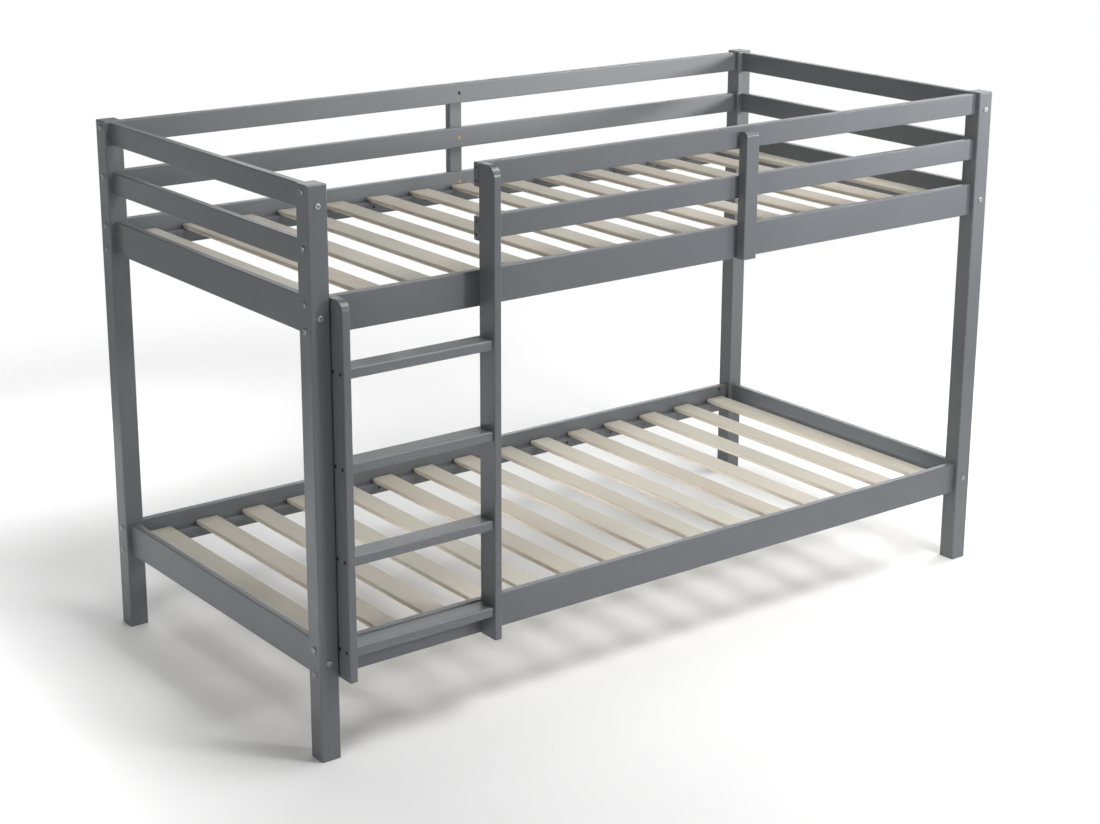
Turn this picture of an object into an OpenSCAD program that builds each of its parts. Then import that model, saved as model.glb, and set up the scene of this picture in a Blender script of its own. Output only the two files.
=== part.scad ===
// Plain twin over twin bunk bed: square posts, board rails and guard rails, an
// upright ladder screwed to the front, and loose-laid slats on ledgers.
// Millimetres, +Z up, +X along the bed towards the foot end, +Y towards the back.
// The origin is on the floor, under the middle of the whole outline.

/* [Mattress] */
// Length of the mattress that the frame holds
mattress_length = 2000; // [1900:10:2100]
// Width of the mattress that the frame holds
mattress_width = 900; // [800:10:1000]
// Free length between the end rails beyond the mattress
length_play = 10; // [4:1:30]
// Free width between the side rails beyond the mattress
width_play = 14; // [4:1:30]

/* [Posts] */
// Side of the square posts
post_side = 48; // [44:1:60]
// Height of the posts above the floor
post_height = 1299; // [1297:1:1320]
// Rounding of the posts' upright edges
post_edge_radius = 3.5; // [2:0.5:6]
// Rounding of the posts' top edges
post_top_radius = 3.5; // [2:0.5:9]

/* [Rails] */
// Thickness of rails and guard rails
board_thickness = 18; // [16:1:20]
// Rounding of the boards' long edges
board_edge_radius = 2.5; // [1.5:0.5:4]
// Height of the side rails and end rails
rail_height = 82; // [76:1:84]
// Underside of the lower rails above the floor
lower_rail_bottom = 193; // [180:1:230]
// Underside of the upper rails above the floor
upper_rail_bottom = 973; // [960:1:976]
// Height of each guard rail board
guard_height = 54; // [50:1:55]
// Clear gap between the upper rail and the low guard rail, and between the two guard rails
guard_gap = 66; // [62:1:67]

/* [Slats] */
// Number of slats in each bed
slat_count = 15; // [11:1:16]
// Width of a slat
slat_width = 65; // [60:1:80]
// Thickness of a slat
slat_thickness = 11; // [10:0.5:15]
// Rounding of the slats' long edges
slat_edge_radius = 4; // [1:0.5:4.5]
// Rounding of the slats' corners, seen from above
slat_corner_radius = 5; // [1:0.5:8]
// Distance from the middle of one slat to the middle of the next
slat_pitch = 134.3; // [110:0.1:134.5]
// Depth of the slats' tops below the rails' tops
slat_drop = 33; // [24:1:36]
// Gap between a slat's end and the side rail
slat_end_gap = 4; // [1:0.5:6]
// Width of the ledgers under the slats
ledger_width = 20; // [18:1:30]
// Height of the ledgers under the slats
ledger_height = 27; // [20:1:30]
// Distance between the screws of a ledger
ledger_screw_pitch = 161.5; // [140:0.5:165]
// Distance of the ledger screws' middle from the bed's middle
ledger_screw_shift = 46; // [40:1:48]

/* [Ladder] */
// Thickness of the ladder's two uprights
stile_thickness = 19; // [17:1:22]
// Depth of the ladder's two uprights from front to back
stile_depth = 58; // [50:1:64]
// Gap between the front post and the ladder
ladder_post_gap = 3; // [2:1:10]
// Clear width between the ladder's two uprights
ladder_clear_width = 370; // [300:1:400]
// Number of rungs
rung_count = 4; // [4:1:4]
// Top of the lowest rung above the floor
first_rung_top = 273; // [265:1:280]
// Rise from one rung's top to the next
rung_rise = 211.3; // [200:0.1:212]
// Depth of a rung from front to back
rung_depth = 52; // [44:1:56]
// Thickness of a rung
rung_thickness = 24; // [18:1:28]
// Large rounding at the top front corner of the ladder's uprights
stile_top_radius = 26; // [15:1:30]

/* [Guard uprights] */
// Width of the short uprights that join the guard rails to the upper rail
upright_width = 40; // [34:1:48]
// Thickness of the front short upright
front_upright_thickness = 28; // [20:1:30]
// Thickness of the back short upright
back_upright_thickness = 20; // [18:1:30]
// Distance from the front left post's outer face to the middle of the front short upright
front_upright_x = 1221; // [1100:1:1300]
// Height of the short uprights' tops below the guard rails' tops
upright_drop = 11; // [4:1:20]

/* [Fasteners] */
// Diameter of the connector bolts' shanks
bolt_d = 6; // [5:0.5:6]
// Diameter of the connector bolts' flat heads
bolt_head_d = 14; // [12:0.5:17]
// Thickness of the connector bolts' flat heads
bolt_head_h = 3; // [2:0.25:3.5]
// Width across flats of the heads' hexagon sockets
bolt_socket = 4; // [3:0.5:5]
// Diameter of the barrel nuts
barrel_d = 10; // [9:0.5:10]
// Distance of the barrel nuts from a rail's end
barrel_inset = 28; // [24:1:32]
// Diameter of the wooden dowels
dowel_d = 8; // [6:1:8]
// Height of the guard rail bolts above and below a guard rail's middle
guard_bolt_offset = 15; // [12:1:16]
// Height of the side rails' two bolts above and below the rail's middle
rail_bolt_offset = 29; // [28:0.5:30]

/* [Hidden] */
$fn = 32;
thread_play = 0.4;
inner_l = mattress_length + length_play;
inner_w = mattress_width + width_play;
board_setback = (post_side - board_thickness) / 2;
outer_l = inner_l + 2 * (board_setback + board_thickness);
outer_w = inner_w + 2 * (board_setback + board_thickness);
ladder_reach = stile_depth - board_setback;
back_reach = back_upright_thickness - board_setback;
front_y = -(outer_w + back_reach - ladder_reach) / 2;
mid_y = front_y + outer_w / 2;
half_l = outer_l / 2;
rail_z = [lower_rail_bottom, upper_rail_bottom];
guard_z = [upper_rail_bottom + rail_height + guard_gap,
           upper_rail_bottom + rail_height + 2 * guard_gap + guard_height];
guard_top = guard_z[1] + guard_height;
rail_mid = [for (z = rail_z) z + rail_height / 2];
guard_mid = [for (z = guard_z) z + guard_height / 2];
slat_top = [for (z = rail_z) z + rail_height - slat_drop];
ledger_top = [for (z = slat_top) z - slat_thickness];
stile_x = [post_side + ladder_post_gap, post_side + ladder_post_gap + stile_thickness + ladder_clear_width];
guard_left_end = stile_x[1];
rung_top = [for (i = [0 : rung_count - 1]) first_rung_top + i * rung_rise];
upright_bottom = upper_rail_bottom;
upright_top = guard_top - upright_drop;
// heights of the fasteners in a post: along the bed, then across it
x_bolt_z = concat([for (m = rail_mid) each [m - rail_bolt_offset, m + rail_bolt_offset]],
                  [for (m = guard_mid) m + guard_bolt_offset]);
x_dowel_z = concat(rail_mid, [for (m = guard_mid) m - guard_bolt_offset]);
y_bolt_z = concat(rail_mid, [guard_mid[1] - guard_bolt_offset]);
y_dowel_z = concat([for (m = rail_mid) each [m - 25, m + 25]],
                   [guard_mid[0] - 13, guard_mid[0] + 13, guard_mid[1] + guard_bolt_offset]);
dowel_half = 15;
bolt_reach = post_side + barrel_inset + 8;
ladder_screw_rail_dz = [-22, 22];
ledger_screws = 12;

// ---- outlines ----
module rounded(w, h, r) {
    translate([r, 0]) square([w - 2 * r, h]);
    translate([0, r]) square([w, h - 2 * r]);
    for (x = [r, w - r], y = [r, h - r]) translate([x, y]) circle(r);
}
// outline with its own rounding at the two top corners
module rounded_top(w, h, r_left, r_right) {
    square([w, h - max(r_left, r_right)]);
    translate([r_left, 0]) square([w - r_left - r_right, h]);
    translate([0, 0]) square([w, h - max(r_left, r_right)]);
    translate([r_left, h - r_left]) circle(r_left);
    translate([w - r_right, h - r_right]) circle(r_right);
    if (r_left < r_right) square([w - r_right, h - r_left]);
    if (r_right < r_left) translate([r_left, 0]) square([w - r_left, h - r_right]);
}

// ---- boards with four rounded long edges ----
module board_x(len, t, h, r = board_edge_radius) rotate([90, 0, 90]) linear_extrude(len) rounded(t, h, r);
module board_y(len, t, h, r = board_edge_radius) translate([0, len, 0]) rotate([90, 0, 0]) linear_extrude(len) rounded(t, h, r);

// ---- places: each starts from the posts' outer faces and points inwards ----
module side(back) translate([0, mid_y, 0]) mirror([0, back ? 1 : 0, 0]) translate([0, -outer_w / 2, 0]) children();
module end(right) mirror([right ? 1 : 0, 0, 0]) translate([-half_l, 0, 0]) children();
module pointing_x() rotate([0, 90, 0]) children();
module pointing_y() rotate([-90, 0, 0]) children();

// ---- bores ----
module bolt_bore(len) translate([0, 0, -1]) cylinder(d = bolt_d + thread_play, h = len + 1);
module dowel_bore() translate([0, 0, -dowel_half - 1]) cylinder(d = dowel_d + 0.2, h = 2 * dowel_half + 2);
// a barrel nut's bore, open at the board's inner face or at its outer face
module barrel_bore(outward = false) translate([0, 0, outward ? -1 : board_thickness - 16]) cylinder(d = barrel_d + 0.2, h = 17);

// ---- fasteners ----
module connector_bolt(len) difference() {
    union() {
        translate([0, 0, -bolt_head_h]) cylinder(d1 = bolt_head_d - 3, d2 = bolt_head_d, h = bolt_head_h / 2);
        translate([0, 0, -bolt_head_h / 2]) cylinder(d = bolt_head_d, h = bolt_head_h / 2);
        cylinder(d = bolt_d, h = len);
    }
    translate([0, 0, -bolt_head_h - 1]) cylinder(d = bolt_socket / cos(30), h = 3.2, $fn = 6);
}
// flush countersunk screw with a cross recess; its head's face is at z = 0
module flat_screw(d, len) difference() {
    union() {
        cylinder(d1 = 2 * d - 0.2, d2 = d, h = d / 2);
        cylinder(d = d, h = len - d);
        translate([0, 0, len - d]) cylinder(d1 = d, d2 = 0.8, h = d);
    }
    for (a = [0, 90]) rotate([0, 0, a]) translate([-d * 0.55, -d * 0.11, -1]) cube([d * 1.1, d * 0.22, 1 + d * 0.3]);
}
module screw_bore(d, len) {
    translate([0, 0, -0.01]) cylinder(d1 = 2 * d + 0.02, d2 = d + 0.2, h = d / 2 + 0.11);
    translate([0, 0, -1]) cylinder(d = d + 0.2, h = len + 1.5);
    translate([0, 0, -1]) cylinder(d = 2 * d + 0.02, h = 1);
}
module barrel_nut(outward = false) mirror([0, 0, outward ? 1 : 0]) difference() {
    cylinder(d = barrel_d, h = 10, center = true);
    rotate([0, 90, 0]) cylinder(d = bolt_d + 0.1, h = 20, center = true);
    translate([0, 0, 5]) cube([1.4, 7, 2], center = true);
}

// ---- posts ----
module post(guards_along) difference() {
    intersection() {
        linear_extrude(post_height) rounded(post_side, post_side, post_edge_radius);
        translate([0, post_side, 0]) rotate([90, 0, 0]) linear_extrude(post_side)
            rounded_top(post_side, post_height, post_top_radius, post_top_radius);
        rotate([90, 0, 90]) linear_extrude(post_side)
            rounded_top(post_side, post_height, post_top_radius, post_top_radius);
    }
    for (z = x_bolt_z) translate([0, post_side / 2, z]) pointing_x() bolt_bore(post_side + 1);
    for (z = y_bolt_z) translate([post_side / 2, 0, z]) pointing_y() bolt_bore(post_side + 1);
    for (z = x_dowel_z) if (guards_along || z < guard_z[0])
        translate([post_side, post_side / 2, z]) pointing_x() dowel_bore();
    for (z = y_dowel_z) translate([post_side / 2, post_side, z]) pointing_y() dowel_bore();
}
module post_front_left() color("slategray") side(false) end(false) post(false);
module post_front_right() color("slategray") side(false) end(true) post(true);
module post_back_left() color("slategray") side(true) end(false) post(true);
module post_back_right() color("slategray") side(true) end(true) post(true);

// ---- boards along the bed ----
// bores at one end of a board, measured from the posts' outer face
module side_end_bores(bolts, dowels, outward = false) {
    for (z = bolts) {
        translate([post_side, post_side / 2, z]) pointing_x() bolt_bore(barrel_inset + 12);
        translate([post_side + barrel_inset, board_setback, z]) pointing_y() barrel_bore(outward);
    }
    for (z = dowels) translate([post_side, post_side / 2, z]) pointing_x() dowel_bore();
}
module screw_bores_y(xs, zs, len, d = 5) for (x = xs, z = zs)
    translate([x - half_l, board_setback + board_thickness, z]) rotate([90, 0, 0]) screw_bore(d, len);

module side_rail(i, back) side(back) difference() {
    translate([-half_l + post_side, board_setback, rail_z[i]])
        board_x(outer_l - 2 * post_side, board_thickness, rail_height);
    for (right = [false, true]) end(right)
        side_end_bores([rail_mid[i] - rail_bolt_offset, rail_mid[i] + rail_bolt_offset], [rail_mid[i]], back && !right);
    if (!back) screw_bores_y([for (x = stile_x) x + stile_thickness / 2],
                             [for (dz = ladder_screw_rail_dz) rail_mid[i] + dz], 45);
    if (i == 1) screw_bores_y([back ? half_l : front_upright_x], [rail_mid[1] - 15, rail_mid[1] + 15], back ? 34 : 40);
    ledger_fixings(i) screw_bore(4, 34);
}
module side_guard(i, back) side(back) difference() {
    translate([-half_l + (back ? post_side : guard_left_end), board_setback, guard_z[i]])
        board_x(outer_l - post_side - (back ? post_side : guard_left_end), board_thickness, guard_height);
    end(true) side_end_bores([guard_mid[i] + guard_bolt_offset], [guard_mid[i] - guard_bolt_offset], back);
    if (back) end(false) side_end_bores([guard_mid[i] + guard_bolt_offset], [guard_mid[i] - guard_bolt_offset], back);
    else {
        // two unused blind holes in the board's free end
        for (dz = [-15, 15]) translate([-half_l + guard_left_end - 1, post_side / 2, guard_mid[i] + dz])
            pointing_x() cylinder(d = 7, h = 13);
        screw_bores_y([stile_x[1] + stile_thickness / 2], [guard_mid[i]], 45);
    }
    screw_bores_y([back ? half_l : front_upright_x], [guard_mid[i]], back ? 34 : 40);
}
module lower_rail_front() color("lightslategray") side_rail(0, false);
module lower_rail_back() color("lightslategray") side_rail(0, true);
module upper_rail_front() color("lightslategray") side_rail(1, false);
module upper_rail_back() color("lightslategray") side_rail(1, true);
module guard_front_low() color("steelblue") side_guard(0, false);
module guard_front_top() color("steelblue") side_guard(1, false);
module guard_back_low() color("steelblue") side_guard(0, true);
module guard_back_top() color("steelblue") side_guard(1, true);

// ---- boards across the bed ----
module end_board_bores(bolts, dowels, outward) for (b = [false, true]) side(b) {
    for (z = bolts) {
        translate([post_side / 2, post_side, z]) pointing_y() bolt_bore(barrel_inset + 12);
        translate([board_setback, post_side + barrel_inset, z]) pointing_x() barrel_bore(outward);
    }
    for (z = dowels) translate([post_side / 2, post_side, z]) pointing_y() dowel_bore();
}
module end_board(right, z0, h, bolts, dowels) end(right) difference() {
    translate([board_setback, front_y + post_side, z0]) board_y(outer_w - 2 * post_side, board_thickness, h);
    end_board_bores(bolts, dowels, right);
}
module end_rail(i, right) end_board(right, rail_z[i], rail_height, [rail_mid[i]], [rail_mid[i] - 25, rail_mid[i] + 25]);
module lower_end_rail_left() color("cadetblue") end_rail(0, false);
module lower_end_rail_right() color("cadetblue") end_rail(0, true);
module upper_end_rail_left() color("cadetblue") end_rail(1, false);
module upper_end_rail_right() color("cadetblue") end_rail(1, true);
module end_guard_low(right) end_board(right, guard_z[0], guard_height, [], [guard_mid[0] - 13, guard_mid[0] + 13]);
module end_guard_top(right) end_board(right, guard_z[1], guard_height,
    [guard_mid[1] - guard_bolt_offset], [guard_mid[1] + guard_bolt_offset]);
module end_guard_low_left() color("skyblue") end_guard_low(false);
module end_guard_low_right() color("skyblue") end_guard_low(true);
module end_guard_top_left() color("skyblue") end_guard_top(false);
module end_guard_top_right() color("skyblue") end_guard_top(true);

// ---- short uprights outside the guard rails ----
module upright(back, thickness, x) side(back) difference() {
    translate([x - upright_width / 2 - half_l, board_setback - thickness, upright_bottom]) intersection() {
        linear_extrude(upright_top - upright_bottom) rounded(upright_width, thickness, board_edge_radius);
        rotate([90, 0, 90]) linear_extrude(upright_width)
            rounded_top(thickness, upright_top - upright_bottom, thickness * 0.42, thickness * 0.42);
    }
    screw_bores_y([x], concat([rail_mid[1] - 15, rail_mid[1] + 15], guard_mid), back ? 34 : 40);
}
module guard_upright_front() color("indianred") upright(false, front_upright_thickness, front_upright_x);
module guard_upright_back() color("indianred") upright(true, back_upright_thickness, half_l);

// ---- ladder ----
module ladder_stile(i) {
    top = i == 0 ? rail_z[1] + rail_height : guard_top;
    side(false) difference() {
        translate([stile_x[i] - half_l, board_setback - stile_depth, lower_rail_bottom]) intersection() {
            linear_extrude(top - lower_rail_bottom) rounded(stile_thickness, stile_depth, board_edge_radius);
            rotate([90, 0, 90]) linear_extrude(stile_thickness)
                rounded_top(stile_depth, top - lower_rail_bottom, stile_top_radius, 8);
        }
        screw_bores_y([stile_x[i] + stile_thickness / 2],
            concat([for (m = rail_mid, dz = ladder_screw_rail_dz) m + dz], i == 0 ? [] : guard_mid), 45);
        rung_fixings(i) screw_bore(4.5, 50);
    }
}
module rung(i) side(false) difference() {
    translate([stile_x[0] + stile_thickness - half_l, board_setback - rung_depth, rung_top[i] - rung_thickness])
        board_x(ladder_clear_width, rung_depth, rung_thickness, 4);
    for (s = [0, 1]) rung_fixings(s) screw_bore(4.5, 50);
}
// screws through an upright into the rungs' ends, placed from the posts' front face
module rung_fixings(s) for (z = rung_top, y = [-0.5, 0.5])
    translate([(s == 0 ? stile_x[0] : stile_x[1] + stile_thickness) - half_l,
               board_setback - rung_depth / 2 - 4 + y * 29, z - rung_thickness / 2])
        rotate([0, s == 0 ? 90 : -90, 0]) children();
module ladder_stile_left() color("darkseagreen") ladder_stile(0);
module ladder_stile_right() color("darkseagreen") ladder_stile(1);
module ladder_rung_1() color("olivedrab") rung(0);
module ladder_rung_2() color("olivedrab") rung(1);
module ladder_rung_3() color("olivedrab") rung(2);
module ladder_rung_4() color("olivedrab") rung(3);

// ---- slats and the ledgers under them ----
module ledger(i, back) side(back) difference() {
    // it ends 2 mm short of the posts, which stand inside the rails' inner faces
    translate([-half_l + post_side + 2, board_setback + board_thickness, ledger_top[i] - ledger_height])
        board_x(outer_l - 2 * (post_side + 2), ledger_width, ledger_height, 2);
    ledger_fixings(i) screw_bore(4, 34);
}
function slat_mid(n) = (n - (slat_count + 1) / 2) * slat_pitch;
module ledger_fixings(i) for (n = [1 : ledger_screws])
    translate([(n - (ledger_screws + 1) / 2) * ledger_screw_pitch - ledger_screw_shift,
               board_setback + board_thickness + ledger_width, ledger_top[i] - ledger_height / 2])
        rotate([90, 0, 0]) children();
module slat(len) intersection() {
    board_y(len, slat_width, slat_thickness, slat_edge_radius);
    linear_extrude(slat_thickness) rounded(slat_width, len, slat_corner_radius);
}
module slats(i) for (n = [1 : slat_count])
    translate([slat_mid(n) - slat_width / 2, mid_y - inner_w / 2 + slat_end_gap, ledger_top[i]])
        slat(inner_w - 2 * slat_end_gap);
module ledger_lower_front() color("peru") ledger(0, false);
module ledger_lower_back() color("peru") ledger(0, true);
module ledger_upper_front() color("peru") ledger(1, false);
module ledger_upper_back() color("peru") ledger(1, true);
module slats_lower() color("wheat") slats(0);
module slats_upper() color("wheat") slats(1);

// ---- fasteners in place ----
module side_bolts(zs, right, back) side(back) end(right) for (z = zs)
    translate([0, post_side / 2, z]) pointing_x() children();
module bolts_side_rails() color("silver") for (r = [false, true], b = [false, true])
    side_bolts([for (k = [0 : 3]) x_bolt_z[k]], r, b) connector_bolt(bolt_reach);
module bolts_guards() color("silver") {
    side_bolts([x_bolt_z[4], x_bolt_z[5]], true, false) connector_bolt(bolt_reach);
    for (r = [false, true]) side_bolts([x_bolt_z[4], x_bolt_z[5]], r, true) connector_bolt(bolt_reach);
}
// the front left post has no guard rail behind it, so two short bolts fill its holes
module bolts_spare() color("silver") side_bolts([x_bolt_z[4], x_bolt_z[5]], false, false) connector_bolt(post_side - 6);
module bolts_end_rails() color("silver") for (r = [false, true], b = [false, true]) side(b) end(r)
    for (z = y_bolt_z) translate([post_side / 2, 0, z]) pointing_y() connector_bolt(bolt_reach);
module side_barrels(zs, right, back, outward) side(back) end(right) for (z = zs)
    translate([post_side + barrel_inset, post_side / 2, z]) pointing_y() barrel_nut(outward);
module barrel_nuts_side_rails() color("gainsboro") for (r = [false, true], b = [false, true])
    side_barrels([for (k = [0 : 3]) x_bolt_z[k]], r, b, b && !r);
module barrel_nuts_guards() color("gainsboro") {
    side_barrels([x_bolt_z[4], x_bolt_z[5]], true, false, false);
    for (r = [false, true]) side_barrels([x_bolt_z[4], x_bolt_z[5]], r, true, true);
}
module barrel_nuts_end_rails() color("gainsboro") for (r = [false, true], b = [false, true]) side(b) end(r)
    for (z = y_bolt_z) translate([post_side / 2, post_side + barrel_inset, z]) pointing_x() rotate([0, 0, 90]) barrel_nut(r);
module dowels() color("burlywood") for (r = [false, true], b = [false, true]) side(b) end(r) {
    for (z = x_dowel_z) if (r || b || z < guard_z[0])
        translate([post_side - dowel_half, post_side / 2, z]) pointing_x() cylinder(d = dowel_d, h = 2 * dowel_half);
    for (z = y_dowel_z)
        translate([post_side / 2, post_side - dowel_half, z]) pointing_y() cylinder(d = dowel_d, h = 2 * dowel_half);
}
module screws_rungs() color("dimgray") side(false) for (s = [0, 1]) rung_fixings(s) flat_screw(4.5, 48);
module screws_y(x, zs, back, len) side(back) for (z = zs)
    translate([x - half_l, board_setback + board_thickness, z]) rotate([90, 0, 0]) flat_screw(5, len);
module screws_ladder() color("dimgray") for (i = [0, 1])
    screws_y(stile_x[i] + stile_thickness / 2,
        concat([for (m = rail_mid, dz = ladder_screw_rail_dz) m + dz], i == 0 ? [] : guard_mid), false, 44);
module screws_upright_front() color("goldenrod")
    screws_y(front_upright_x, concat([rail_mid[1] - 15, rail_mid[1] + 15], guard_mid), false, 39);
module screws_upright_back() color("goldenrod")
    screws_y(half_l, concat([rail_mid[1] - 15, rail_mid[1] + 15], guard_mid), true, 33);
module screws_ledgers() color("dimgray") for (b = [false, true], i = [0, 1]) side(b) ledger_fixings(i) flat_screw(4, 33);

post_front_left();
post_front_right();
post_back_left();
post_back_right();
lower_rail_front();
lower_rail_back();
lower_end_rail_left();
lower_end_rail_right();
upper_rail_front();
upper_rail_back();
upper_end_rail_left();
upper_end_rail_right();
end_guard_low_left();
end_guard_low_right();
end_guard_top_left();
end_guard_top_right();
guard_back_low();
guard_back_top();
guard_front_low();
guard_front_top();
guard_upright_front();
guard_upright_back();
ladder_stile_left();
ladder_stile_right();
ladder_rung_1();
ladder_rung_2();
ladder_rung_3();
ladder_rung_4();
ledger_lower_front();
ledger_lower_back();
ledger_upper_front();
ledger_upper_back();
slats_lower();
slats_upper();
bolts_side_rails();
bolts_guards();
bolts_end_rails();
bolts_spare();
barrel_nuts_side_rails();
barrel_nuts_guards();
barrel_nuts_end_rails();
dowels();
screws_rungs();
screws_ladder();
screws_upright_front();
screws_upright_back();
screws_ledgers();
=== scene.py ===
import math
import bpy
from mathutils import Matrix, Vector


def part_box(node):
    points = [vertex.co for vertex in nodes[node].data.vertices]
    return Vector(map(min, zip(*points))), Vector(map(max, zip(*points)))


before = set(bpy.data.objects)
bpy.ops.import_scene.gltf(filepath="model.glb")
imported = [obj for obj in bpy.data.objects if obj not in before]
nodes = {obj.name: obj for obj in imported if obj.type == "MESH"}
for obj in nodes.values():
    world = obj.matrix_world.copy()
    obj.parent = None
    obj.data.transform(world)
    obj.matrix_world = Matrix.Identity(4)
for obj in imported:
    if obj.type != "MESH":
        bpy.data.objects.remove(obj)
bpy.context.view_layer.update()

scene = bpy.context.scene

# ---------------------------------------------------------------- helpers


class Tree:
    """A short way to write a node tree: every call adds a node and returns one of its outputs."""

    def __init__(self, tree):
        self.t = tree
        self.x = 0

    def add(self, kind, **props):
        n = self.t.nodes.new(kind)
        self.x += 60
        n.location = (self.x, (self.x % 7) * 90)
        for k, v in props.items():
            setattr(n, k, v)
        return n

    def put(self, socket, value):
        if isinstance(value, bpy.types.NodeSocket):
            self.t.links.new(value, socket)
        else:
            socket.default_value = value

    def coords(self):
        return self.add("ShaderNodeTexCoord").outputs["Object"]

    def math(self, op, a, b=None, c=None, clamp=False):
        n = self.add("ShaderNodeMath", operation=op, use_clamp=clamp)
        self.put(n.inputs[0], a)
        if b is not None:
            self.put(n.inputs[1], b)
        if c is not None:
            self.put(n.inputs[2], c)
        return n.outputs[0]

    def vec(self, op, a, b=None, scale=None):
        n = self.add("ShaderNodeVectorMath", operation=op)
        self.put(n.inputs[0], a)
        if b is not None:
            self.put(n.inputs[1], b)
        if scale is not None:
            self.put(n.inputs["Scale"], scale)
        return n.outputs["Value"] if op in ("LENGTH", "DISTANCE", "DOT_PRODUCT") else n.outputs["Vector"]

    def split(self, v):
        n = self.add("ShaderNodeSeparateXYZ")
        self.put(n.inputs[0], v)
        return n.outputs[0], n.outputs[1], n.outputs[2]

    def join(self, x, y, z):
        n = self.add("ShaderNodeCombineXYZ")
        for s, v in zip(n.inputs, (x, y, z)):
            self.put(s, v)
        return n.outputs[0]

    def noise(self, vector, scale, detail=3.0, rough=0.55, distort=0.0, colour=False):
        n = self.add("ShaderNodeTexNoise")
        self.put(n.inputs["Vector"], vector)
        n.inputs["Scale"].default_value = scale
        n.inputs["Detail"].default_value = detail
        n.inputs["Roughness"].default_value = rough
        n.inputs["Distortion"].default_value = distort
        return n.outputs["Color" if colour else "Fac"]

    def white(self, value):
        n = self.add("ShaderNodeTexWhiteNoise", noise_dimensions="1D")
        self.put(n.inputs["W"], value)
        return n.outputs["Value"]

    def ramp(self, fac, *stops):
        n = self.add("ShaderNodeValToRGB")
        self.put(n.inputs[0], fac)
        e = n.color_ramp.elements
        while len(e) < len(stops):
            e.new(0.5)
        for el, (pos, col) in zip(e, stops):
            el.position = pos
            el.color = (*col, 1) if isinstance(col, tuple) else (col, col, col, 1)
        return n.outputs[0]

    def smooth(self, v, lo, hi):
        n = self.add("ShaderNodeMapRange", interpolation_type="SMOOTHSTEP")
        self.put(n.inputs["Value"], v)
        n.inputs["From Min"].default_value = lo
        n.inputs["From Max"].default_value = hi
        return n.outputs[0]

    def span(self, v, lo, hi, to_lo, to_hi):
        n = self.add("ShaderNodeMapRange")
        self.put(n.inputs["Value"], v)
        for k, x in (("From Min", lo), ("From Max", hi), ("To Min", to_lo), ("To Max", to_hi)):
            n.inputs[k].default_value = x
        return n.outputs[0]

    def mix(self, fac, a, b, kind="MIX"):
        n = self.add("ShaderNodeMix", data_type="RGBA", blend_type=kind)
        self.put(n.inputs[0], fac)
        self.put(n.inputs[6], (*a, 1) if isinstance(a, tuple) else a)
        self.put(n.inputs[7], (*b, 1) if isinstance(b, tuple) else b)
        return n.outputs[2]

    def bump(self, height, strength, distance, normal=None):
        n = self.add("ShaderNodeBump")
        n.inputs["Strength"].default_value = strength
        n.inputs["Distance"].default_value = distance
        self.put(n.inputs["Height"], height)
        if normal is not None:
            self.put(n.inputs["Normal"], normal)
        return n.outputs[0]


def material(name):
    m = bpy.data.materials.new(name)
    m.use_nodes = True
    tree = m.node_tree
    tree.nodes.clear()
    t = Tree(tree)
    shader = t.add("ShaderNodeBsdfPrincipled")
    out = t.add("ShaderNodeOutputMaterial")
    tree.links.new(shader.outputs[0], out.inputs[0])
    return m, t, shader


AX = {"x": 0, "y": 1, "z": 2}


def grain(t, p, axis, pith, spacing, seed):
    """Softwood rings cut by the surface. p is the place in metres; the rings run round a line that
    lies along the grain and wanders a little, so that flat faces show arches and edges show lines."""
    a = AX[axis]
    slow = [3.2, 3.2, 3.2]
    slow[a] = 1.1
    warp = t.noise(t.vec("ADD", t.vec("MULTIPLY", p, tuple(slow)), (seed * 1.37, seed * 0.71, seed * 2.13)), 1.0, 2.0, 0.5, colour=True)
    warp = t.vec("SCALE", t.vec("SUBTRACT", warp, (0.5, 0.5, 0.5)), scale=0.075)
    q = t.vec("ADD", t.vec("SUBTRACT", p, pith), warp)
    flat = [1.0, 1.0, 1.0]
    flat[a] = 0.0
    dist = t.vec("LENGTH", t.vec("MULTIPLY", q, tuple(flat)))
    streak_scale = [260.0, 260.0, 260.0]
    streak_scale[a] = 5.0
    streak = t.noise(t.vec("MULTIPLY", p, tuple(streak_scale)), 1.0, 4.0, 0.62)
    phase = t.math("ADD", t.math("MULTIPLY", dist, 2 * math.pi / spacing), t.math("MULTIPLY", streak, 1.3))
    wave = t.math("MULTIPLY_ADD", t.math("SINE", phase), 0.5, 0.5)
    late = t.math("POWER", wave, 2.6)
    return late, streak


def knots(t, p, axis, density, seed):
    """0 away from knots, 1 in a knot's heart; also gives the dark ring round it."""
    a = AX[axis]
    s = [6.5 * density, 6.5 * density, 6.5 * density]
    s[a] = 3.4 * density
    v = t.add("ShaderNodeTexVoronoi", feature="F1")
    t.put(v.inputs["Vector"], t.vec("ADD", t.vec("MULTIPLY", p, tuple(s)), (seed * 3.1, seed * 1.9, seed * 0.7)))
    v.inputs["Scale"].default_value = 1.0
    pick = t.split(v.outputs["Color"])[0]
    rare = t.math("GREATER_THAN", pick, 0.72)
    heart = t.math("MULTIPLY", t.smooth(v.outputs["Distance"], 0.085, 0.03), rare)
    halo = t.math("MULTIPLY", t.smooth(v.outputs["Distance"], 0.17, 0.07), rare)
    return heart, halo


def rounded_edge(t):
    """1 on the rounded edges, where the surface points between two axes, 0 on flat faces."""
    nx, ny, nz = t.split(t.add("ShaderNodeNewGeometry").outputs["Normal"])
    flat = t.math("MAXIMUM", t.math("MAXIMUM", t.math("ABSOLUTE", nx), t.math("ABSOLUTE", ny)), t.math("ABSOLUTE", nz))
    return t.smooth(flat, 0.985, 0.88)


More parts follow.
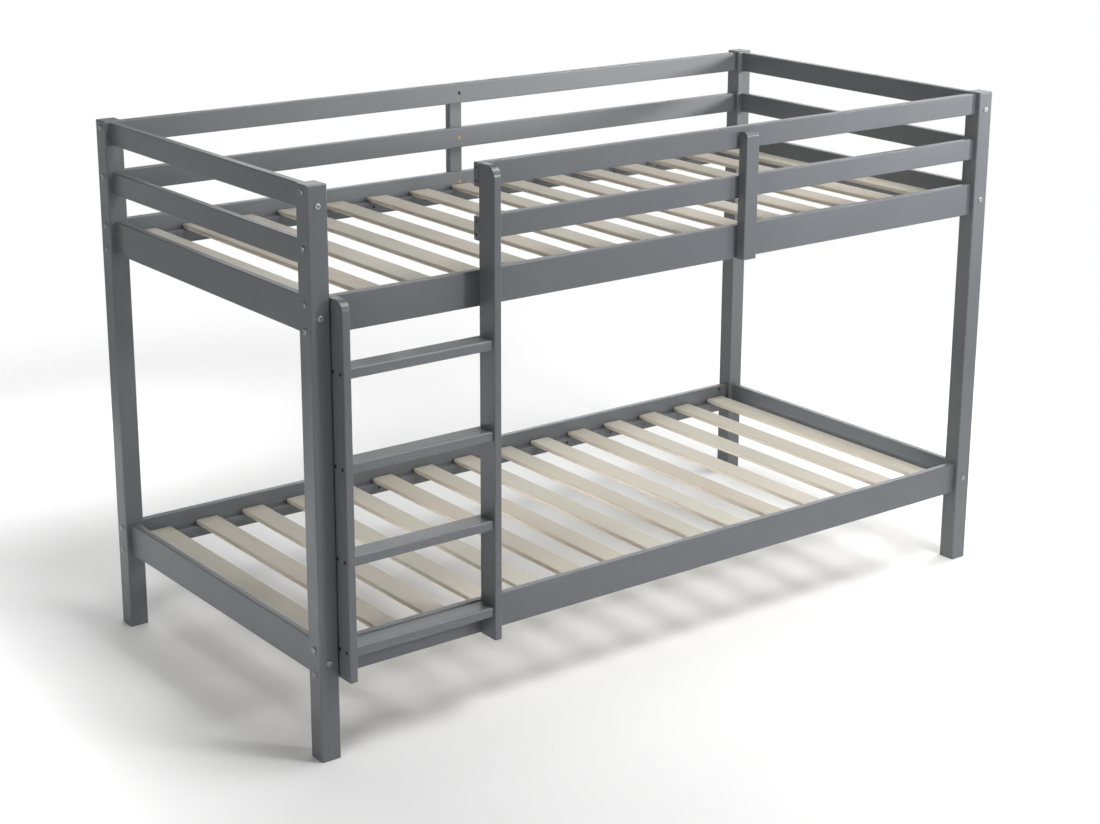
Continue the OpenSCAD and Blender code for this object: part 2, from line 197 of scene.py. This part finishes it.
def paint(name, axis, seed, wear=None, tone=1.0):
    """Satin paint over planed softwood: the grain stands through the film as a faint relief, the
    film itself has a fine roller texture, and its tone and gloss drift a little over each board."""
    m, t, sh = material(name)

    def grey(*rgb):
        return tuple(tone * v for v in rgb)

    p = t.coords()
    off = ((seed * 0.173) % 1.0, (seed * 0.291) % 1.0, (seed * 0.417) % 1.0)
    ps = t.vec("ADD", p, off)
    spread = [0.055 + 0.03 * ((seed * 7) % 5) / 5, 0.06 + 0.03 * ((seed * 3) % 7) / 7, 0.05 + 0.035 * ((seed * 5) % 6) / 6]
    a = AX[axis]
    lo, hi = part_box(name)
    mid = (lo + hi) / 2
    pith = [mid[i] + spread[i] for i in range(3)]
    pith[a] = 0.0
    late, streak = grain(t, p, axis, tuple(pith), 0.0052 + 0.0012 * ((seed * 11) % 4) / 4, seed)
    heart, halo = knots(t, ps, axis, 0.55, seed)
    # tone: broad drift, faint grain, knots that show through as slightly darker rings
    broad_s = [2.6, 2.6, 2.6]
    broad_s[a] = 0.9
    broad = t.noise(t.vec("MULTIPLY", ps, tuple(broad_s)), 1.0, 3.0, 0.5)
    base = t.ramp(broad, (0.3, grey(0.1290, 0.1375, 0.1484)), (0.72, grey(0.1487, 0.1580, 0.1698)))
    fine = t.noise(ps, 90.0, 5.0, 0.6)
    base = t.mix(t.math("MULTIPLY", late, 0.07), base, grey(0.1044, 0.1110, 0.1204))
    base = t.mix(t.span(streak, 0.35, 0.75, 0.0, 0.06), base, grey(0.1694, 0.1800, 0.1928))
    base = t.mix(t.math("MULTIPLY", halo, 0.07), base, grey(0.1024, 0.1080, 0.1153))
    base = t.mix(t.span(fine, 0.4, 0.62, 0.0, 0.06), base, grey(0.1123, 0.1190, 0.1285))
    rough = t.span(t.noise(ps, 7.0, 4.0, 0.6), 0.3, 0.7, 0.36, 0.47)
    # painted highlight and rubbed film: the rounded edges are made lighter in patches, standing in for the highlight
    # that runs along them, and a little glossier
    edge_rub_and_highlight = t.math("MULTIPLY", rounded_edge(t), t.smooth(t.noise(ps, 38.0, 4.0, 0.68), 0.46, 0.66))
    base = t.mix(t.math("MULTIPLY", edge_rub_and_highlight, 0.28), base, (0.202, 0.210, 0.2193))
    rough = t.math("SUBTRACT", rough, t.math("MULTIPLY", edge_rub_and_highlight, 0.05))
    if wear is not None:
        mask = wear(t, p, ps)
        base = t.mix(t.math("MULTIPLY", mask, 0.6), base, (0.235, 0.235, 0.235))
        rough = t.math("ADD", rough, t.math("MULTIPLY", mask, 0.14))
    t.put(sh.inputs["Base Color"], base)
    t.put(sh.inputs["Roughness"], rough)
    sh.inputs["Specular IOR Level"].default_value = 0.5
    sh.inputs["Coat Weight"].default_value = 0.22
    sh.inputs["Coat Roughness"].default_value = 0.22
    # relief: grain lines, brushed streaks along the board, roller stipple
    brush_s = [700.0, 700.0, 700.0]
    brush_s[a] = 26.0
    brush = t.noise(t.vec("MULTIPLY", ps, tuple(brush_s)), 1.0, 3.0, 0.6)
    stipple = t.noise(ps, 620.0, 2.0, 0.5)
    n = t.bump(late, 0.13, 0.0002)
    n = t.bump(brush, 0.09, 0.00015, n)
    n = t.bump(stipple, 0.10, 0.00014, n)
    n = t.bump(heart, 0.2, 0.0003, n)
    t.put(sh.inputs["Normal"], n)
    return m


def pine(name, seed, tone=1.0, pitch=0.1343):
    """Bare planed pine slats. Each slat has its own tone, its own cut through the log and its own
    knots, taken from its place along the bed."""
    m, t, sh = material(name)

    def wood(*rgb):
        return tuple(tone * v for v in rgb)

    p = t.coords()
    x, y, z = t.split(p)
    index = t.math("ROUND", t.math("DIVIDE", x, pitch))
    r1 = t.white(t.math("ADD", index, 11.3 + seed))
    r2 = t.white(t.math("ADD", index, 47.9 + seed * 2))
    r3 = t.white(t.math("ADD", index, 83.1 + seed * 3))
    local = t.join(t.math("SUBTRACT", x, t.math("MULTIPLY", index, pitch)), t.math("ADD", y, t.math("MULTIPLY", r3, 7.0)), z)
    lo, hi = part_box(name)
    pith_x = t.span(r1, 0.0, 1.0, -0.05, 0.05)
    pith_z = t.span(r2, 0.0, 1.0, 0.012, 0.075)
    pith = t.join(pith_x, 0.0, t.math("ADD", pith_z, hi[2]))
    late, streak = grain(t, local, "y", pith, 0.0046, seed)
    heart, halo = knots(t, t.vec("ADD", local, t.join(t.math("MULTIPLY", r2, 3.0), r1, 0.0)), "y", 1.0, seed)
    early = t.ramp(r1, (0.0, wood(0.500, 0.456, 0.392)), (0.33, wood(0.498, 0.490, 0.428)), (0.66, wood(0.540, 0.508, 0.446)), (1.0, wood(0.572, 0.560, 0.500)))
    warm = t.noise(t.vec("MULTIPLY", local, (9.0, 1.6, 9.0)), 1.0, 3.0, 0.5)
    col = t.mix(t.span(warm, 0.3, 0.7, 0.0, 0.35), early, wood(0.504, 0.457, 0.364))
    blush = t.noise(t.vec("MULTIPLY", local, (6.0, 3.4, 6.0)), 1.0, 2.0, 0.5)
    col = t.mix(t.span(blush, 0.46, 0.66, 0.0, 0.45), col, wood(0.556, 0.486, 0.422))
    col = t.mix(t.span(blush, 0.50, 0.34, 0.0, 0.35), col, wood(0.470, 0.474, 0.400))
    col = t.mix(t.math("MULTIPLY", late, t.span(r3, 0.0, 1.0, 0.10, 0.26)), col, wood(0.370, 0.302, 0.207))
    col = t.mix(t.span(streak, 0.45, 0.8, 0.0, 0.16), col, wood(0.403, 0.347, 0.263))
    pores = t.noise(t.vec("MULTIPLY", local, (1500.0, 60.0, 1500.0)), 1.0, 2.0, 0.5)
    col = t.mix(t.span(pores, 0.55, 0.75, 0.0, 0.20), col, wood(0.370, 0.314, 0.235))
    col = t.mix(t.math("MULTIPLY", halo, 0.40), col, wood(0.370, 0.274, 0.174))
    col = t.mix(t.math("MULTIPLY", heart, 0.85), col, wood(0.157, 0.095, 0.047))
    # painted light: the slats' narrow faces are made lighter and warmer than the planed tops, standing in for light on
    # their sides; and their edges are rubbed
    geo = t.add("ShaderNodeNewGeometry").outputs["Normal"]
    nx = t.math("ABSOLUTE", t.split(geo)[0])
    col = t.mix(t.math("MULTIPLY", t.smooth(nx, 0.5, 0.95), 0.5), col, wood(0.700, 0.612, 0.470))
    rub = t.math("MULTIPLY", rounded_edge(t), t.smooth(t.noise(local, 60.0, 4.0, 0.68), 0.48, 0.66))
    col = t.mix(t.math("MULTIPLY", rub, 0.22), col, wood(0.325, 0.280, 0.218))
    t.put(sh.inputs["Base Color"], col)
    t.put(sh.inputs["Roughness"], t.span(late, 0.0, 1.0, 0.62, 0.5))
    sh.inputs["Specular IOR Level"].default_value = 0.35
    n = t.bump(late, 0.4, 0.0003)
    n = t.bump(pores, 0.35, 0.0002, n)
    n = t.bump(t.noise(t.vec("MULTIPLY", local, (30.0, 420.0, 30.0)), 1.0, 1.0, 0.5), 0.12, 0.0001, n)
    t.put(sh.inputs["Normal"], n)
    return m


def metal(name, colour, dark, rough, bump=0.3, top=None):
    """Plated steel: cloudy plating, fine scratches and a little grime where the plating is thin.
    With top, whatever lies above that height has the second pair of colours."""
    m, t, sh = material(name)
    p = t.coords()
    cloud = t.noise(p, 260.0, 5.0, 0.62)
    scratch = t.noise(t.vec("MULTIPLY", p, (900.0, 5200.0, 1900.0)), 1.0, 2.0, 0.5)
    col = t.mix(t.span(cloud, 0.38, 0.66, 0.0, 1.0), colour, dark)
    if top is not None:
        height, colour, dark = top
        other = t.mix(t.span(cloud, 0.38, 0.66, 0.0, 1.0), colour, dark)
        col = t.mix(t.smooth(t.split(p)[2], height - 0.01, height + 0.01), col, other)
    t.put(sh.inputs["Base Color"], col)
    sh.inputs["Metallic"].default_value = 1.0
    t.put(sh.inputs["Roughness"], t.math("ADD", t.span(cloud, 0.3, 0.7, rough - 0.06, rough + 0.1), t.span(scratch, 0.5, 0.8, 0.0, 0.08)))
    n = t.bump(scratch, bump, 0.00005)
    n = t.bump(cloud, 0.2, 0.0001, n)
    t.put(sh.inputs["Normal"], n)
    return m


def beech(name):
    m, t, sh = material(name)
    p = t.coords()
    streak = t.noise(t.vec("MULTIPLY", p, (140.0, 140.0, 900.0)), 1.0, 3.0, 0.6)
    flecks = t.noise(p, 1400.0, 2.0, 0.5)
    col = t.ramp(streak, (0.3, (0.52, 0.37, 0.22)), (0.7, (0.66, 0.50, 0.33)))
    col = t.mix(t.span(flecks, 0.58, 0.72, 0.0, 0.5), col, (0.34, 0.21, 0.11))
    t.put(sh.inputs["Base Color"], col)
    t.put(sh.inputs["Roughness"], t.span(streak, 0.3, 0.7, 0.5, 0.66))
    t.put(sh.inputs["Normal"], t.bump(streak, 0.3, 0.0002))
    return m


def give(node, mat):
    mesh = nodes[node].data
    mesh.materials.clear()
    mesh.materials.append(mat)


# ---------------------------------------------------------------- wear masks


def rung_wear(t, p, ps):
    """Feet polish the front top edge of each rung near its middle."""
    x, y, z = t.split(p)
    lo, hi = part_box("ladder_rung_1")
    mid = (lo[0] + hi[0]) / 2
    across = t.smooth(t.math("ABSOLUTE", t.math("SUBTRACT", x, mid)), 0.17, 0.03)
    front = t.smooth(y, lo[1] + 0.016, lo[1] + 0.001)
    spots = t.smooth(t.noise(ps, 160.0, 4.0, 0.7), 0.52, 0.66)
    return t.math("MULTIPLY", t.math("MULTIPLY", across, front), spots)


def foot_wear(t, p, ps):
    """Small chips and scuffs in the last few centimetres above the floor."""
    z = t.split(p)[2]
    low = t.smooth(z, 0.05, 0.0)
    chips = t.smooth(t.noise(ps, 210.0, 4.0, 0.72), 0.60, 0.68)
    return t.math("MULTIPLY", low, chips)


# ---------------------------------------------------------------- materials on the CAD nodes

ALONG_X = ["lower_rail_front", "lower_rail_back", "upper_rail_front", "upper_rail_back",
           "guard_back_low", "guard_back_top", "guard_front_low", "guard_front_top",
           "ladder_rung_1", "ladder_rung_2", "ladder_rung_3", "ladder_rung_4",
           "ledger_lower_front", "ledger_lower_back", "ledger_upper_front", "ledger_upper_back"]
ALONG_Y = ["lower_end_rail_left", "lower_end_rail_right", "upper_end_rail_left", "upper_end_rail_right",
           "end_guard_low_left", "end_guard_low_right", "end_guard_top_left", "end_guard_top_right"]
ALONG_Z = ["post_front_left", "post_front_right", "post_back_left", "post_back_right",
           "guard_upright_front", "guard_upright_back", "ladder_stile_left", "ladder_stile_right"]
seed = 1
for axis, group in (("x", ALONG_X), ("y", ALONG_Y), ("z", ALONG_Z)):
    for n in group:
        wear = rung_wear if n.startswith("ladder_rung") else foot_wear if n.startswith("post") else None
        # painted light: the rungs' paint is made a little lighter than the rest, standing in for more light falling on
        # the ladder
        give(n, paint(n, axis, seed, wear, 1.14 if n.startswith("ladder_rung") else 1.0))
        seed += 1
# painted light: the lower slats are made lighter and the upper slats darker than one pine, standing in for more light
# on the lower bed and less on the upper
for i, n in enumerate(("slats_lower", "slats_upper")):
    give(n, pine(n, 5 + 9 * i, (1.07, 0.98)[i]))
zinc = metal("zinc_plate", (0.49, 0.495, 0.505), (0.36, 0.365, 0.375), 0.50, 0.15)
nickel = metal("barrel_plate", (0.075, 0.076, 0.078), (0.040, 0.041, 0.042), 0.45)
yellow = metal("yellow_zinc_plate", (0.62, 0.47, 0.20), (0.36, 0.27, 0.12), 0.30)
black = metal("phosphate", (0.060, 0.060, 0.064), (0.030, 0.030, 0.032), 0.42)
# painted shade: the back upright's topmost screw is coloured black among yellow ones, standing in for the shade in its
# recess
yellow_with_shaded_top = metal("yellow_zinc_plate_with_painted_shade_top", (0.62, 0.47, 0.20), (0.36, 0.27, 0.12), 0.30,
                         top=(1.21, (0.060, 0.060, 0.064), (0.030, 0.030, 0.032)))
for n in nodes:
    if n.startswith("bolts"):
        give(n, zinc)
    elif n.startswith("barrel"):
        give(n, nickel)
    elif n == "screws_upright_front":
        give(n, yellow)
    elif n == "screws_upright_back":
        give(n, yellow_with_shaded_top)
    elif n.startswith("screws"):
        give(n, black)
give("dowels", beech("beech_dowel"))

# ---------------------------------------------------------------- floor


def floor():
    """A round white floor that fades into the white surroundings at its rim."""
    mesh = bpy.data.meshes.new("floor")
    r, n = 4.0, 96
    ring = [(r * math.cos(2 * math.pi * i / n), r * math.sin(2 * math.pi * i / n), 0) for i in range(n)]
    mesh.from_pydata(ring, [], [tuple(range(n))])
    ob = bpy.data.objects.new("floor", mesh)
    scene.collection.objects.link(ob)
    m, t, sh = material("floor_sweep")
    p = t.coords()
    c = t.ramp(t.noise(p, 0.8, 3.0, 0.5), (0.3, (0.935, 0.935, 0.935)), (0.7, (0.955, 0.955, 0.955)))
    t.put(sh.inputs["Base Color"], c)
    sh.inputs["Roughness"].default_value = 0.75
    sh.inputs["Specular IOR Level"].default_value = 0.15
    t.put(sh.inputs["Alpha"], t.smooth(t.vec("LENGTH", p), 3.2, 2.1))
    mesh.materials.append(m)


floor()

# ---------------------------------------------------------------- light


def area(name, place, aim, size, power, colour=(1, 1, 1)):
    data = bpy.data.lights.new(name, "AREA")
    data.shape = "RECTANGLE"
    data.size, data.size_y = size
    data.energy = power
    data.color = colour
    ob = bpy.data.objects.new(name, data)
    ob.location = place
    ob.rotation_euler = (Vector(aim) - Vector(place)).to_track_quat("-Z", "Y").to_euler()
    scene.collection.objects.link(ob)
    return ob


def spot(name, place, aim, angle, power, colour=(1, 1, 1)):
    data = bpy.data.lights.new(name, "SPOT")
    data.energy = power
    data.color = colour
    data.spot_size = math.radians(angle)
    data.spot_blend = 1.0
    data.shadow_soft_size = 0.5
    ob = bpy.data.objects.new(name, data)
    ob.location = place
    ob.rotation_euler = (Vector(aim) - Vector(place)).to_track_quat("-Z", "Y").to_euler()
    scene.collection.objects.link(ob)
    return ob


middle = (0.0, 0.0, 0.7)
area("backdrop", (4.75, 4.4, 1.4), (0.0, 0.0, 0.9), (6.4, 3.4), 143.0)
area("backdrop_low", (4.0, 4.0, 0.5), (0.0, 0.0, 0.4), (6.0, 1.2), 67.0)
area("backdrop_left", (-1.0, 5.5, 0.9), (0.0, 0.0, 0.6), (5.0, 2.2), 25.5)
area("key", (0.87, -2.55, 1.58), (0.0, 0.0, 0.8), (0.28, 0.28), 22.4)
area("right", (4.229, 0.0, 2.239), middle, (2.5, 2.0), 131.0)
spot("right_far", (4.823, -4.823, 2.275), (0.9, 0.3, 1.45), 22.0, 1569.0)
spot("left_far", (-3.4, 0.2, 0.95), (1.02, 0.02, 0.27), 13.0, 420.0).data.shadow_soft_size = 0.1
area("left_front", (-3.627, -1.929, 1.573), middle, (1.5, 1.5), 29.6)
area("top_back", (0.0, 3.2, 3.8), middle, (3.0, 2.0), 47.0)
area("top_front", (0.8, -1.6, 3.9), middle, (2.0, 1.5), 91.0)
# two narrow lights that only reach the floor beside and behind the bed
area("floor_left", (-1.95, 0.5, 3.0), (-1.95, 0.5, 0.0), (0.5, 1.9), 9.0).data.spread = math.radians(34)
area("floor_back", (-1.0, 1.9, 3.0), (-1.0, 1.9, 0.0), (1.7, 0.8), 4.0).data.spread = math.radians(34)

world = bpy.data.worlds.new("studio")
scene.world = world
world.use_nodes = True
wt = Tree(world.node_tree)
world.node_tree.nodes.clear()
bg = wt.add("ShaderNodeBackground")
# the room is bright below and dark overhead
height = wt.split(wt.add("ShaderNodeTexCoord").outputs["Generated"])[2]
room = wt.ramp(wt.math("MULTIPLY_ADD", height, 0.5, 0.5), (0.4, 0.337), (0.51, 0.06), (0.675, 0.02), (0.9, 0.0))
wt.put(bg.inputs["Color"], room)
bg.inputs["Strength"].default_value = 1.0
seen = wt.add("ShaderNodeBackground")
seen.inputs["Color"].default_value = (1, 1, 1, 1)
seen.inputs["Strength"].default_value = 1.0
pick = wt.add("ShaderNodeMixShader")
wt.put(pick.inputs[0], wt.add("ShaderNodeLightPath").outputs["Is Camera Ray"])
wt.put(pick.inputs[1], bg.outputs[0])
wt.put(pick.inputs[2], seen.outputs[0])
wout = wt.add("ShaderNodeOutputWorld")
wt.put(wout.inputs[0], pick.outputs[0])

scene.view_settings.view_transform = "Standard"
scene.view_settings.look = "None"
scene.view_settings.exposure = 0.0
scene.view_settings.gamma = 1.0

# ---------------------------------------------------------------- camera


def camera():
    yaw, pitch, roll = (math.radians(v) for v in (37.287, -15.9915, 0.2568))
    forward = Vector((math.sin(yaw) * math.cos(pitch), math.cos(yaw) * math.cos(pitch), math.sin(pitch)))
    right = Vector((math.cos(yaw), -math.sin(yaw), 0))
    up = right.cross(forward)
    r = math.cos(roll) * right + math.sin(roll) * up
    u = -math.sin(roll) * right + math.cos(roll) * up
    data = bpy.data.cameras.new("camera")
    data.sensor_width = 36.0
    data.lens = 2114.63 * 36.0 / 1100.0
    data.shift_y = -0.06
    data.clip_start, data.clip_end = 0.05, 200.0
    ob = bpy.data.objects.new("camera", data)
    m = Matrix((r, u, -forward)).transposed().to_4x4()
    m.translation = Vector((-3.2092, -4.1442, 2.1765))
    ob.matrix_world = m
    scene.collection.objects.link(ob)
    scene.camera = ob


camera()
